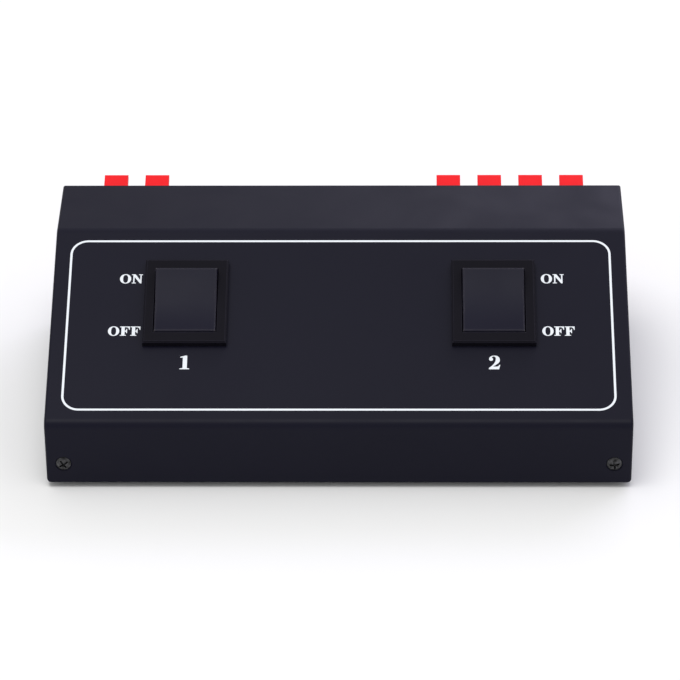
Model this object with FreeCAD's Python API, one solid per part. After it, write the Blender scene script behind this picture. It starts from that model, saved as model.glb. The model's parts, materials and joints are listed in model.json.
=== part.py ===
import FreeCAD, Part
import math
import os
from FreeCAD import Vector

# A loudspeaker selector box: a bent sheet case with two rocker switches on its sloped panel
# and two blocks of spring-clip wire terminals on its rear panel.
# While it is built, X runs to the right, Y to the rear from the front face, and Z up from the
# underside of the case. The finished pieces are then moved so that the origin lies on the
# surface the feet stand on, under the middle of the whole box.

# Case
case_width = 176.0
front_height = 21.0
slope_run = 69.0
slope_rise = 26.0
top_depth = 27.0
sheet = 1.0
front_bend_radius = 3.0
rear_bend_radius = 6.0
side_edge_radius = 0.8
bottom_corner_radius = 1.3
panel_fit = 0.15
tray_bend_radius = 0.6
front_flange_height = 14.0
rear_tab_width = 7.5
rear_tab_bottom = 3.0
rear_tab_top = 15.0
rear_tab_corner = 2.0

# Feet
foot_height = 2.0
foot_radius = 5.0
foot_base_radius = 4.5
foot_edge_radius = 0.4
foot_inset = 12.0

# Case screws, raised countersunk with a cross recess, each sunk a little in a wider mouth
screw_inset = 5.3
screw_height = 6.6
screw_head_radius = 2.3
screw_mouth_radius = 2.6
screw_sink = 0.3
screw_dome = 0.8
screw_shank_radius = 1.25
screw_length = 6.0
screw_turns = (35.0, 8.0, 62.0, 20.0)
thread_fit = 0.05
collar_radius = 2.4
collar_length = 1.5
recess_span = 3.0
recess_width = 0.6
recess_depth = 1.2

# Pan-head screws that hold the terminal blocks
pan_head_radius = 2.7
pan_head_height = 1.8
pan_head_edge = 0.7
pan_length = 7.0
pan_turn = 28.0
pan_hole_radius = 1.6

# Rocker switches, measured across the panel, up its slope and out of its face
switch_spacing = 93.8
switch_height_on_slope = 44.8
bezel_width = 25.5
bezel_length = 31.7
bezel_proud = 2.2
bezel_side = 1.8
bezel_slope_run = 0.5
body_side_wall = 1.2
body_end_wall = 0.85
body_depth = 22.0
body_floor = 1.5
cutout_fit = 0.3
snap_reach = 1.0
snap_length = 5.0
snap_width = 6.0
snap_fit = 0.15
cap_width = 18.8
cap_chord = 21.7
cap_face_above_pivot = 6.0
cap_face_height = 3.85
cap_dish = 1.08
cap_skirt = 3.0
cap_wall = 1.3
cap_edge_radius = 0.45
cap_side_gap = 0.3
cap_end_gap = 0.5
rocker_travel = 16.0
pivot_radius = 1.5
pivot_length = 0.9
pivot_fit = 0.05

# Moving contacts and tabs in each switch
pole_offset = 4.7
post_radius = 2.6
post_bore = 1.8
post_drop = 6.5
plunger_radius = 1.6
plunger_tip = 9.0
plunger_head = 1.0
plunger_fit = 0.1
coil_radius = 1.2
coil_wire = 0.3
coil_turns = 6
coil_fit = 0.05
contact_travel = 10.0
contact_width = 4.0
contact_length = 16.0
contact_sheet = 0.6
rivet_radius = 1.4
rivet_height = 0.8
rivet_place = 7.0
rivet_gap = 0.1
fulcrum_fit = 0.05
tab_width = 6.3
tab_sheet = 0.8
tab_reach = 9.0
tab_hole_radius = 0.8
load_place = 8.0

# Terminal blocks
lever_pitch = 13.0
row_pitch = 16.0
block_top_gap = 1.8
input_edge_inset = 4.2
output_edge_inset = 3.2
input_columns = 2
output_columns = 4
plate_thickness = 2.5
plate_height = 34.2
plate_corner = 1.5
plate_edge_radius = 0.4
plate_ear = 6.0
block_depth = 14.0
block_wall = 1.4
cavity_width = 9.2
cavity_height = 13.6
block_fit = 0.2
board_thickness = 1.2
window_width = 8.3
window_gap = 0.4
wire_slot_width = 3.4
wire_slot_drop = 3.2
wire_slot_corner = 0.8
funnel = 0.9

# Levers of the terminals
lever_width = 7.5
lever_reach = 10.55
lever_pivot_inset = 4.0
lever_pivot_rise = 3.4
lever_hub_radius = 2.0
lever_hub_width = 8.6
lever_tip_top = 5.6
lever_tip_bottom = 3.9
lever_tip_corner = 0.5
lever_arm_length = 5.2
lever_arm_front = 0.4
lever_arm_back = 1.6
lever_pin_radius = 1.0
lever_pin_length = 0.8
lever_pin_fit = 0.05
lever_travel = 20.0

# Springs and contact strips of the terminals
spring_width = 5.0
spring_sheet = 0.3
spring_back_gap = 0.1
spring_bend_radius = 1.6
spring_top = 5.3
spring_bottom = 5.0
spring_nose_gap = 0.05
strip_width = 3.0
strip_sheet = 0.5
strip_front_gap = 0.3
strip_rise = 6.0
strip_tail = 5.0

# Hook-up wire: how far it lies on a strip's tail, how far below a housing it crosses the tabs,
# and how low the output wires pass under the ones between the switches
wire_radius = 0.8
wire_gap = 0.03
wire_bend_share = 0.45
tail_lap = 4.0
input_drop = 5.0
near_drop = 3.0
far_drop = 7.0
jumper_sag = 1.0
low_pass = 5.6

# Places that the inner wires pass, chosen by hand: the two from the input to the first switch,
# then the two long returns under them
far_input_y = 62.0
far_input_z = 20.0
near_input_y = 66.0
near_input_z = 24.0
low_return_y = 68.0
low_return_z = 6.0
high_return_x = 5.0
high_return_y = 64.0
high_return_z = 10.0

# How far a cutting shape runs past the face that it cuts
overrun = 1.0

case_depth = slope_run + top_depth
case_height = front_height + slope_rise
slope_angle = math.degrees(math.atan2(slope_rise, slope_run))
slope_cos = math.cos(math.radians(slope_angle))
slope_sin = math.sin(math.radians(slope_angle))
inner_half_width = case_width / 2 - sheet
tray_half_width = inner_half_width - panel_fit
flange_front = sheet + panel_fit
rear_face = case_depth
rear_inside = case_depth - sheet

cap_radius = math.hypot(cap_chord / 2, cap_face_above_pivot)
rest_tilt = rocker_travel / 2
pivot_height = cap_face_height - cap_face_above_pivot * math.cos(math.radians(rest_tilt))
cavity_half_width = cap_width / 2 + cap_side_gap
cavity_half_length = cap_radius + cap_end_gap
body_width = 2 * (cavity_half_width + body_side_wall)
body_length = 2 * (cavity_half_length + body_end_wall)
contact_top = pivot_height - plunger_tip - plunger_fit
contact_pivot_height = contact_top - contact_sheet
contact_tilt = contact_travel / 2

block_height = row_pitch + cavity_height + 2 * block_wall
block_centre_height = case_height - sheet - block_top_gap - block_height / 2
plate_front = rear_face + plate_thickness
block_back = rear_face - block_depth
lever_pivot_y = rear_face - lever_pivot_inset
lever_tip_run = lever_pivot_inset + lever_reach
row_heights = (block_centre_height + row_pitch / 2, block_centre_height - row_pitch / 2)
row_colours = ("red", "black")
strip_top_drop = cavity_height / 2 - strip_sheet

screw_top = screw_dome - screw_sink
shift_to_middle = (case_depth + lever_reach - screw_top) / 2


def flat_point(plane, a, b):
    """A point of the named plane through the origin."""
    if plane == "yz":
        return Vector(0, a, b)
    if plane == "xz":
        return Vector(a, 0, b)
    return Vector(a, b, 0)


def outline(points, radii, plane="yz"):
    """A closed wire through the points, with each corner rounded to its own radius."""
    corners = []
    count = len(points)
    for index in range(count):
        here = flat_point(plane, *points[index])
        if radii[index] == 0:
            corners.append((here, here, here))
            continue
        to_before = (flat_point(plane, *points[index - 1]) - here).normalize()
        to_after = (flat_point(plane, *points[(index + 1) % count]) - here).normalize()
        half_angle = to_before.getAngle(to_after) / 2
        run = radii[index] / math.tan(half_angle)
        depth = radii[index] / math.sin(half_angle) - radii[index]
        inward = (to_before + to_after).normalize()
        corners.append((here + to_before * run, here + inward * depth, here + to_after * run))
    edges = []
    for index in range(count):
        start, middle, end = corners[index]
        following = corners[(index + 1) % count][0]
        if radii[index] > 0:
            edges.append(Part.Arc(start, middle, end).toShape())
        if end.distanceToPoint(following) > 1e-6:
            edges.append(Part.LineSegment(end, following).toShape())
    return Part.Wire(edges)


def prism(points, radii, plane, start, length):
    """A straight solid on an outline, from start along the plane's normal for a length."""
    if radii == 0:
        radii = [0] * len(points)
    along = {"yz": Vector(1, 0, 0), "xz": Vector(0, 1, 0), "xy": Vector(0, 0, 1)}[plane]
    face = Part.Face(outline(points, radii, plane))
    face.translate(along * start)
    return face.extrude(along * length)


def box(x_range, y_range, z_range):
    """A block between two values on each axis."""
    size = [high - low for low, high in (x_range, y_range, z_range)]
    corner = Vector(x_range[0], y_range[0], z_range[0])
    return Part.makeBox(size[0], size[1], size[2], corner)


def centred(middle, width):
    """The two ends of a width about its middle."""
    return (middle - width / 2, middle + width / 2)


def rounded_plate(plane, a_range, b_range, radius, start, length):
    """A plate in the named plane with its four corners rounded."""
    points = [
        (a_range[0], b_range[0]),
        (a_range[1], b_range[0]),
        (a_range[1], b_range[1]),
        (a_range[0], b_range[1]),
    ]
    return prism(points, [radius] * 4, plane, start, length)


def rod(radius, centre, along, length):
    """A round bar from a point along a direction."""
    return Part.makeCylinder(radius, length, centre, along)


def turned(shape, degrees, y, z):
    """The shape turned about an axis along X through a point."""
    copy = shape.copy()
    copy.rotate(Vector(0, y, z), Vector(1, 0, 0), degrees)
    return copy


def edges_on(shape, test):
    """The edges whose middle point passes a test."""
    found = []
    for edge in shape.Edges:
        middle = edge.valueAt((edge.FirstParameter + edge.LastParameter) / 2)
        if test(middle, edge):
            found.append(edge)
    return found


def on_slope(shape, x=0.0):
    """A shape built flat, with Y up the slope and Z out of the panel, laid on the panel."""
    copy = shape.copy()
    copy.translate(Vector(x, switch_height_on_slope, 0))
    copy.rotate(Vector(0, 0, 0), Vector(1, 0, 0), slope_angle)
    copy.translate(Vector(0, 0, front_height))
    return copy


def slope_point(x, up, out):
    """A point on the panel's axes, from the centre line of the switches, in the case's axes."""
    along = switch_height_on_slope + up
    y = along * slope_cos - out * slope_sin
    z = front_height + along * slope_sin + out * slope_cos
    return Vector(x, y, z)


def switch_places():
    """The names and the X of the two switches."""
    return (("switch_1", -switch_spacing / 2), ("switch_2", switch_spacing / 2))


def block_width(columns):
    """The width of a terminal block's body behind its plate."""
    return (columns - 1) * lever_pitch + cavity_width + 2 * block_wall


def plate_width(columns):
    """The width of a terminal block's plate with its two screw ears."""
    return block_width(columns) + 2 * plate_ear


def block_places():
    """The name, number of columns and middle X of each terminal block."""
    input_middle = input_edge_inset + plate_width(input_columns) / 2 - case_width / 2
    output_middle = case_width / 2 - output_edge_inset - plate_width(output_columns) / 2
    return (("input", input_columns, input_middle), ("output", output_columns, output_middle))


def column_places(columns, middle):
    """The X of each column of a block."""
    return [middle + (index - (columns - 1) / 2) * lever_pitch for index in range(columns)]


def terminal_names(block, columns):
    """The plain name of each column of a block, from -X to +X as seen from the front."""
    if block == "input":
        return ["input_right", "input_left"]
    sides = ("right", "left")
    return ["output_%d_%s" % (index // 2 + 1, sides[index % 2]) for index in range(columns)]


def case_screw_places():
    """X, Y and the way out of each of the four screws that hold the cover."""
    x = case_width / 2 - screw_inset
    return (
        (-x, 0.0, -1, screw_turns[0]),
        (x, 0.0, -1, screw_turns[1]),
        (-x, rear_face, 1, screw_turns[2]),
        (x, rear_face, 1, screw_turns[3]),
    )


def facing(shape, x, y, z, way):
    """A shape built along +Z stood along Y at a place, facing the rear or the front."""
    copy = shape.copy()
    copy.rotate(Vector(0, 0, 0), Vector(1, 0, 0), -90 * way)
    copy.translate(Vector(x, y, z))
    return copy


def countersink():
    """The hole through one sheet for a countersunk screw, along +Z with its mouth at zero."""
    seat = screw_head_radius + thread_fit
    foot = screw_shank_radius + thread_fit
    cone = Part.makeCone(foot, seat, sheet - screw_sink, Vector(0, 0, -sheet))
    mouth = Part.makeCone(seat, screw_mouth_radius, screw_sink, Vector(0, 0, -screw_sink))
    bore = rod(foot, Vector(0, 0, -sheet - overrun), Vector(0, 0, 1), overrun)
    return cone.fuse(mouth).fuse(bore)


def cross_recess(top, turn):
    """The cross cut into a screw head whose highest point is at top."""
    across = centred(0, recess_span)
    narrow = centred(0, recess_width)
    depth = (top - recess_depth, top + overrun)
    cross = box(across, narrow, depth).fuse(box(narrow, across, depth))
    cross.rotate(Vector(0, 0, 0), Vector(0, 0, 1), turn)
    return cross


def cover_shell():
    """The bent cover: front face, sloped panel, top strip and side walls."""
    outer_points = [
        (0, 0),
        (0, front_height),
        (slope_run, case_height),
        (case_depth, case_height),
        (case_depth, 0),
    ]
    outer_radii = [0, front_bend_radius, rear_bend_radius, 0, 0]
    shell = prism(outer_points, outer_radii, "yz", -case_width / 2, case_width)

    def side_edge(middle, edge):
        flat = edge.BoundBox.XLength < 1e-6
        return flat and middle.z > 1e-6 and middle.y < case_depth - 1e-6

    shell = shell.makeFillet(side_edge_radius, edges_on(shell, side_edge))
    drop = sheet / slope_cos
    tan = slope_rise / slope_run
    inner_points = [
        (sheet, -overrun),
        (sheet, front_height + sheet * tan - drop),
        ((slope_rise - sheet + drop) / tan, case_height - sheet),
        (case_depth + overrun, case_height - sheet),
        (case_depth + overrun, -overrun),
    ]
    inner_radii = [0, front_bend_radius - sheet, rear_bend_radius - sheet, 0, 0]
    shell = shell.cut(
        prism(inner_points, inner_radii, "yz", -inner_half_width, 2 * inner_half_width)
    )
    shell = shell.cut(bottom_corner_cut(-1)).cut(bottom_corner_cut(1))
    for side in (-1, 1):
        shell = shell.fuse(rear_tab(side))
    for x, y, way, turn in case_screw_places():
        if way < 0:
            shell = shell.cut(facing(countersink(), x, y, screw_height, way))
        else:
            shell = shell.fuse(thread_collar(x, rear_inside - sheet, -1))
            shell = shell.cut(thread_hole(x, rear_inside + overrun, -1))
    for name, x in switch_places():
        opening = box(
            centred(0, body_width + 2 * cutout_fit),
            centred(0, body_length + 2 * cutout_fit),
            (-sheet - overrun, overrun),
        )
        shell = shell.cut(on_slope(opening, x))
    return shell.removeSplitter()


def bottom_corner_cut(side):
    """What is cut away to round a lower corner of the front face."""
    radius = bottom_corner_radius
    edge = side * case_width / 2
    inner = edge - side * radius
    corner = box(sorted((inner, edge)), (-overrun, radius), (0, radius))
    return corner.cut(rod(radius, Vector(inner, -overrun, radius), Vector(0, 1, 0), radius + overrun))


def rear_tab(side):
    """The tab bent in from a side wall that the rear panel is screwed to."""
    wall = side * inner_half_width
    inner = wall - side * rear_tab_width
    points = [
        (wall, rear_tab_bottom),
        (inner, rear_tab_bottom),
        (inner, rear_tab_top),
        (wall, rear_tab_top),
    ]
    radii = [0, rear_tab_corner, rear_tab_corner, 0]
    return prism(points, radii, "xz", rear_inside - sheet, sheet)


def thread_collar(x, y, way):
    """The collar drawn out of a sheet round a tapped hole."""
    return rod(collar_radius, Vector(x, y, screw_height), Vector(0, way, 0), collar_length)


def thread_hole(x, y, way):
    """The tapped hole for a case screw, cut through a sheet and its collar."""
    length = sheet + collar_length + 2 * overrun
    radius = screw_shank_radius + thread_fit
    return rod(radius, Vector(x, y, screw_height), Vector(0, way, 0), length)


def base_tray():
    """The bent tray: front flange, floor and rear panel."""
    rear_top = case_height - sheet - panel_fit
    points = [
        (flange_front, front_flange_height),
        (flange_front, 0),
        (case_depth, 0),
        (case_depth, rear_top),
        (rear_inside, rear_top),
        (rear_inside, sheet),
        (flange_front + sheet, sheet),
        (flange_front + sheet, front_flange_height),
    ]
    bend = tray_bend_radius
    radii = [0, bend + sheet, bend + sheet, 0, 0, bend, bend, 0]
    tray = prism(points, radii, "yz", -tray_half_width, 2 * tray_half_width)
    for x, y, way, turn in case_screw_places():
        if way < 0:
            tray = tray.fuse(thread_collar(x, flange_front + sheet, 1))
            tray = tray.cut(thread_hole(x, flange_front - overrun, 1))
        else:
            tray = tray.cut(facing(countersink(), x, y, screw_height, way))
    for name, columns, middle in block_places():
        opening = box(
            centred(middle, block_width(columns) + 2 * block_fit),
            (rear_inside - overrun, rear_face + overrun),
            centred(block_centre_height, block_height + 2 * block_fit),
        )
        tray = tray.cut(opening)
        for x in ear_places(columns, middle):
            centre = Vector(x, rear_inside - overrun, block_centre_height)
            radius = screw_shank_radius + thread_fit
            tray = tray.cut(rod(radius, centre, Vector(0, 1, 0), sheet + 2 * overrun))
    return tray.removeSplitter()


def ear_places(columns, middle):
    """The X of the two screws of a terminal block."""
    offset = (plate_width(columns) - plate_ear) / 2
    return (middle - offset, middle + offset)


def rubber_feet():
    """Four round feet stuck under the floor."""
    feet = []
    for x in (-case_width / 2 + foot_inset, case_width / 2 - foot_inset):
        for y in (foot_inset, case_depth - foot_inset):
            lowest = Vector(x, y, -foot_height)
            foot = Part.makeCone(foot_base_radius, foot_radius, foot_height, lowest)

            def lower_rim(middle, edge):
                return middle.z < 1e-6 - foot_height

            feet.append(foot.makeFillet(foot_edge_radius, edges_on(foot, lower_rim)))
    return Part.Compound(feet)


def case_screw(turn):
    """A raised countersunk screw along +Z, with the sheet's outer face at zero."""
    neck = Vector(0, 0, -sheet)
    cone = Part.makeCone(screw_shank_radius, screw_head_radius, sheet - screw_sink, neck)
    shank = rod(screw_shank_radius, Vector(0, 0, -screw_length), Vector(0, 0, 1), screw_length - sheet)
    ball_radius = (screw_head_radius**2 + screw_dome**2) / (2 * screw_dome)
    ball = Part.makeSphere(ball_radius, Vector(0, 0, screw_top - ball_radius))
    rim = Vector(0, 0, -screw_sink)
    dome = ball.common(rod(screw_head_radius, rim, Vector(0, 0, 1), 2 * screw_dome))
    screw = cone.fuse(shank).fuse(dome).removeSplitter()
    return screw.cut(cross_recess(screw_top, turn))


def case_screws():
    """The four screws that hold the cover to the tray."""
    screws = []
    for x, y, way, turn in case_screw_places():
        screws.append(facing(case_screw(turn), x, y, screw_height, way))
    return Part.Compound(screws)


def block_screws():
    """The pan-head screws through the ears of both terminal blocks."""
    head = rod(pan_head_radius, Vector(0, 0, 0), Vector(0, 0, 1), pan_head_height)

    def top_rim(middle, edge):
        return middle.z > pan_head_height - 1e-6

    head = head.makeFillet(pan_head_edge, edges_on(head, top_rim))
    shank = rod(screw_shank_radius, Vector(0, 0, -pan_length), Vector(0, 0, 1), pan_length)
    screw = head.fuse(shank).removeSplitter()
    screw = screw.cut(cross_recess(pan_head_height, pan_turn))
    screws = []
    for name, columns, middle in block_places():
        for x in ear_places(columns, middle):
            screws.append(facing(screw, x, plate_front, block_centre_height, 1))
    return Part.Compound(screws)


def switch_housing():
    """A switch's bezel and body with its cavity, bearings, snap wings and tab slots."""
    bezel = box(centred(0, bezel_width), centred(0, bezel_length), (0, bezel_side))
    body = box(centred(0, body_width), centred(0, body_length), (-body_depth, 0))
    housing = bezel.fuse(bezel_slopes()).fuse(body)
    for side in (-1, 1):
        housing = housing.fuse(snap_wing(side))
    pivot = Vector(-cavity_half_width, 0, pivot_height)
    lip = rod(cavity_half_length, pivot, Vector(1, 0, 0), 2 * cavity_half_width)
    upper = box(
        centred(0, 2 * cavity_half_width),
        centred(0, 2 * cavity_half_length),
        (pivot_height, bezel_proud + overrun),
    )
    lower = box(
        centred(0, 2 * cavity_half_width),
        centred(0, 2 * cavity_half_length),
        (body_floor - body_depth, pivot_height),
    )
    housing = housing.cut(lip.common(upper)).cut(lower)
    bearing_length = 2 * (cap_width / 2 + pivot_length + cutout_fit)
    bearing = rod(
        pivot_radius + pivot_fit,
        Vector(-bearing_length / 2, 0, pivot_height),
        Vector(1, 0, 0),
        bearing_length,
    )
    housing = housing.cut(bearing)
    for pole in (-pole_offset, pole_offset):
        for place in (0, -load_place):
            slot = box(
                centred(pole, tab_width),
                centred(place, tab_sheet),
                (-body_depth - overrun, body_floor - body_depth + overrun),
            )
            housing = housing.cut(slot)
    return housing.removeSplitter()


def bezel_slopes():
    """The upper part of a bezel, whose four sides slope in to its flat face."""
    x, y = bezel_width / 2, bezel_length / 2
    flat_x, flat_y = x - bezel_slope_run, y - bezel_slope_run
    slopes = Part.makeWedge(
        -x, bezel_side, -y, -flat_y, -flat_x, x, bezel_proud, y, flat_y, flat_x
    )
    slopes.rotate(Vector(0, 0, 0), Vector(1, 0, 0), 90)
    return slopes


def snap_wing(side):
    """The two sprung wedges at one end of a switch body that hold it in the panel."""
    face = side * body_length / 2
    tip = face + side * (cutout_fit + snap_reach)
    top = -sheet - snap_fit
    points = [(face, top), (tip, top), (face, top - snap_length)]
    wings = []
    for x in (-body_width / 4, body_width / 4):
        wings.append(prism(points, 0, "yz", x - snap_width / 2, snap_width))
    return wings[0].fuse(wings[1])


def rocker_outline(inset):
    """The rocker's side view about its pivot: a dished face between two round ends."""
    end_radius = cap_radius - inset
    top = cap_face_above_pivot - inset
    half = math.sqrt(end_radius**2 - top**2)
    skirt = -cap_skirt - (overrun if inset else 0)
    low = math.sqrt(end_radius**2 - cap_skirt**2)
    left_top = Vector(0, -half, top)
    right_top = Vector(0, half, top)
    face = Part.Arc(left_top, Vector(0, 0, top - cap_dish), right_top)
    middle_z = (top - cap_skirt) / 2
    middle_y = math.sqrt(end_radius**2 - middle_z**2)
    right_end = Part.Arc(right_top, Vector(0, middle_y, middle_z), Vector(0, low, -cap_skirt))
    left_end = Part.Arc(Vector(0, -low, -cap_skirt), Vector(0, -middle_y, middle_z), left_top)
    edges = [face.toShape(), right_end.toShape()]
    if inset:
        edges.append(Part.LineSegment(Vector(0, low, -cap_skirt), Vector(0, low, skirt)).toShape())
    edges.append(Part.LineSegment(Vector(0, low, skirt), Vector(0, -low, skirt)).toShape())
    if inset:
        edges.append(Part.LineSegment(Vector(0, -low, skirt), Vector(0, -low, -cap_skirt)).toShape())
    edges.append(left_end.toShape())
    return Part.Wire(edges)


def switch_rocker():
    """The rocker about its pivot: a dished hollow cap, pivot stubs and two posts."""
    outer = Part.Face(rocker_outline(0))
    outer.translate(Vector(-cap_width / 2, 0, 0))
    rocker = outer.extrude(Vector(cap_width, 0, 0))

    def upper_rim(middle, edge):
        return middle.z > cap_face_above_pivot - cap_dish - 1e-6

    rocker = rocker.makeFillet(cap_edge_radius, edges_on(rocker, upper_rim))
    hollow = Part.Face(rocker_outline(cap_wall))
    hollow.translate(Vector(cap_wall - cap_width / 2, 0, 0))
    rocker = rocker.cut(hollow.extrude(Vector(cap_width - 2 * cap_wall, 0, 0)))
    roof = cap_face_above_pivot - cap_dish - cap_wall / 2
    for pole in (-pole_offset, pole_offset):
        post = rod(post_radius, Vector(pole, 0, -post_drop), Vector(0, 0, 1), post_drop + roof)
        bore = rod(
            post_bore,
            Vector(pole, 0, -post_drop - overrun),
            Vector(0, 0, 1),
            post_drop + overrun + spring_roof(),
        )
        rocker = rocker.fuse(post).cut(bore)
    stub_start = cap_width / 2 - cap_wall
    for side in (-1, 1):
        stub = rod(
            pivot_radius,
            Vector(side * stub_start, 0, 0),
            Vector(side, 0, 0),
            cap_wall + pivot_length,
        )
        rocker = rocker.fuse(stub)
    return rocker.removeSplitter()


def spring_roof():
    """The height above the pivot of the seat that the plunger springs push on."""
    return cap_face_above_pivot - cap_dish - cap_wall - coil_wire


def plunger():
    """A round-ended contact plunger, below the pivot."""
    tip_centre = Vector(0, 0, plunger_radius - plunger_tip)
    length = plunger_tip - plunger_radius - plunger_head
    shaft = rod(plunger_radius, tip_centre, Vector(0, 0, 1), length)
    return shaft.fuse(Part.makeSphere(plunger_radius, tip_centre)).removeSplitter()


def coil_spring():
    """The spring between a plunger and the rocker's seat."""
    bottom = coil_wire / 2 + coil_fit - plunger_head
    top = spring_roof() - coil_wire / 2 - coil_fit
    helix = Part.makeHelix((top - bottom) / coil_turns, top - bottom, coil_radius)
    section = Part.Wire([Part.makeCircle(coil_wire / 2, Vector(coil_radius, 0, 0), Vector(0, 1, 0))])
    spring = Part.Wire(helix).makePipeShell([section], True, True)
    spring.translate(Vector(0, 0, bottom))
    return spring


def on_both_poles(shape):
    """Copies of a piece at a switch's two poles."""
    copies = []
    for pole in (-pole_offset, pole_offset):
        copy = shape.copy()
        copy.translate(Vector(pole, 0, 0))
        copies.append(copy)
    return Part.Compound(copies)


def moving_contact():
    """A seesaw strip about its fulcrum line, with a rivet over the fixed contact."""
    strip = rounded_plate(
        "xy",
        centred(0, contact_width),
        centred(0, contact_length),
        contact_width / 4,
        0,
        contact_sheet,
    )
    rivet = rod(rivet_radius, Vector(0, -rivet_place, -rivet_height), Vector(0, 0, 1), rivet_height)
    return strip.fuse(rivet).removeSplitter()


def fixed_contact_top():
    """The height out of the panel of the fixed rivet under the closed moving contact."""
    swing = (rivet_place + rivet_radius) * math.sin(math.radians(contact_tilt))
    return contact_pivot_height - rivet_height - swing - rivet_gap


def switch_tabs():
    """The common tabs with the fulcrums, and the load tabs with the fixed contacts."""
    bottom = -body_depth - tab_reach
    common_top = contact_pivot_height - fulcrum_fit
    shoulder = body_floor - body_depth + contact_width / 2
    common = box(centred(0, tab_width), centred(0, tab_sheet), (bottom, shoulder))
    neck = box(centred(0, contact_width), centred(0, tab_sheet), (shoulder, common_top))
    common = common.fuse(neck)
    rivet_bottom = fixed_contact_top() - rivet_height
    pad_bottom = rivet_bottom - contact_sheet
    load = box(centred(0, tab_width), centred(-load_place, tab_sheet), (bottom, shoulder))
    leg = box(centred(0, contact_width), centred(-load_place, tab_sheet), (shoulder, pad_bottom))
    pad = box(
        centred(0, contact_width),
        (-load_place - tab_sheet / 2, rivet_radius - rivet_place),
        (pad_bottom, rivet_bottom),
    )
    rivet = rod(rivet_radius, Vector(0, -rivet_place, rivet_bottom), Vector(0, 0, 1), rivet_height)
    load = load.fuse(leg).fuse(pad).fuse(rivet)
    tabs = []
    for tab, place in ((common, 0), (load, -load_place)):
        hole = rod(
            tab_hole_radius,
            Vector(0, place - tab_sheet, bottom + 2 * tab_hole_radius),
            Vector(0, 1, 0),
            2 * tab_sheet,
        )
        tabs.append(tab.cut(hole).removeSplitter())
    both = on_both_poles(tabs[0]).Solids + on_both_poles(tabs[1]).Solids
    return Part.Compound(both)


def placed_on_rocker(shape, x):
    """A piece of the rocker, turned to the OFF position and set in the panel."""
    rest = turned(shape, rest_tilt, 0, 0)
    rest.translate(Vector(0, 0, pivot_height))
    return on_slope(rest, x)


def placed_on_fulcrum(shape, x):
    """The moving contacts, tilted to the OFF position and set in the panel."""
    rest = turned(shape, -contact_tilt, 0, 0)
    rest.translate(Vector(0, 0, contact_pivot_height))
    return on_slope(rest, x)


def block_body(columns, middle):
    """A terminal block: plate, ears, a cavity for each terminal, windows and wire slots."""
    plate = rounded_plate(
        "xz",
        centred(middle, plate_width(columns)),
        centred(block_centre_height, plate_height),
        plate_corner,
        rear_face,
        plate_thickness,
    )

    def outer_rim(point, edge):
        return point.y > plate_front - 1e-6

    plate = plate.makeFillet(plate_edge_radius, edges_on(plate, outer_rim))
    back = box(
        centred(middle, block_width(columns)),
        (block_back, rear_face),
        centred(block_centre_height, block_height),
    )
    block = plate.fuse(back)
    for x in ear_places(columns, middle):
        centre = Vector(x, rear_face - overrun, block_centre_height)
        length = plate_thickness + 2 * overrun
        block = block.cut(rod(pan_hole_radius, centre, Vector(0, 1, 0), length))
    for x in column_places(columns, middle):
        for height in row_heights:
            block = block.cut(terminal_hollow(x, height))
    return block.removeSplitter()


def lever_pivot_z(height):
    """The height of a lever's pivot above a row's middle."""
    return height + lever_pivot_rise


def lever_slope_at(run, tip, root):
    """The height above the pivot of a lever's upper or lower face, a run behind the pivot."""
    return root + (tip - root) * run / lever_tip_run


def terminal_hollow(x, height):
    """All that is cut from a block for one terminal."""
    cavity = box(
        centred(x, cavity_width),
        (block_back + board_thickness, rear_face),
        centred(height, cavity_height),
    )
    board_seat = box(
        centred(x, cavity_width + block_wall),
        (block_back - overrun, block_back + board_thickness),
        centred(height, cavity_height + block_wall),
    )
    pivot_z = lever_pivot_z(height)
    run = lever_pivot_inset + plate_thickness
    window_top = pivot_z + lever_slope_at(run, lever_tip_top, lever_hub_radius) + window_gap
    pressed = math.radians(lever_travel)
    rest_low = lever_slope_at(run, lever_tip_bottom, -lever_hub_radius)
    window_bottom = pivot_z + rest_low - run * math.tan(pressed) - window_gap
    window = box(
        centred(x, window_width), (rear_face - overrun, plate_front + overrun), (window_bottom, window_top)
    )
    slot_z = height - wire_slot_drop
    slot = rounded_plate(
        "xz",
        centred(x, wire_slot_width),
        centred(slot_z, wire_slot_width),
        wire_slot_corner,
        rear_face - overrun,
        plate_thickness + 2 * overrun,
    )
    hollow = cavity.fuse(board_seat).fuse(window).fuse(slot)
    hollow = hollow.fuse(wire_funnel(x, slot_z))
    pin_span = lever_hub_width + 2 * (lever_pin_length + lever_pin_fit)
    pin_hole = rod(
        lever_pin_radius + lever_pin_fit,
        Vector(x - pin_span / 2, lever_pivot_y, pivot_z),
        Vector(1, 0, 0),
        pin_span,
    )
    return hollow.fuse(pin_hole)


def wire_funnel(x, z):
    """The bevelled mouth of a wire slot."""
    sections = []
    for y, width in ((plate_front - funnel, wire_slot_width), (plate_front, wire_slot_width + 2 * funnel)):
        low_x, high_x = centred(x, width)
        low_z, high_z = centred(z, width)
        corners = [
            Vector(low_x, y, low_z),
            Vector(high_x, y, low_z),
            Vector(high_x, y, high_z),
            Vector(low_x, y, high_z),
            Vector(low_x, y, low_z),
        ]
        sections.append(Part.makePolygon(corners))
    return Part.makeLoft(sections, True, True)


def back_boards(columns, middle):
    """The small boards that close a block's cavities and carry the contact strips."""
    boards = []
    for x in column_places(columns, middle):
        for height in row_heights:
            board = box(
                centred(x, cavity_width + block_wall - 2 * panel_fit),
                (block_back, block_back + board_thickness),
                centred(height, cavity_height + block_wall - 2 * panel_fit),
            )
            slot = box(
                centred(x, strip_width),
                (block_back - overrun, rear_face),
                strip_range(height),
            )
            boards.append(board.cut(slot))
    return Part.Compound(boards)


def strip_range(height):
    """The lowest and highest Z of a contact strip's flat run in a row."""
    return (height - strip_top_drop - strip_sheet, height - strip_top_drop)


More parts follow.
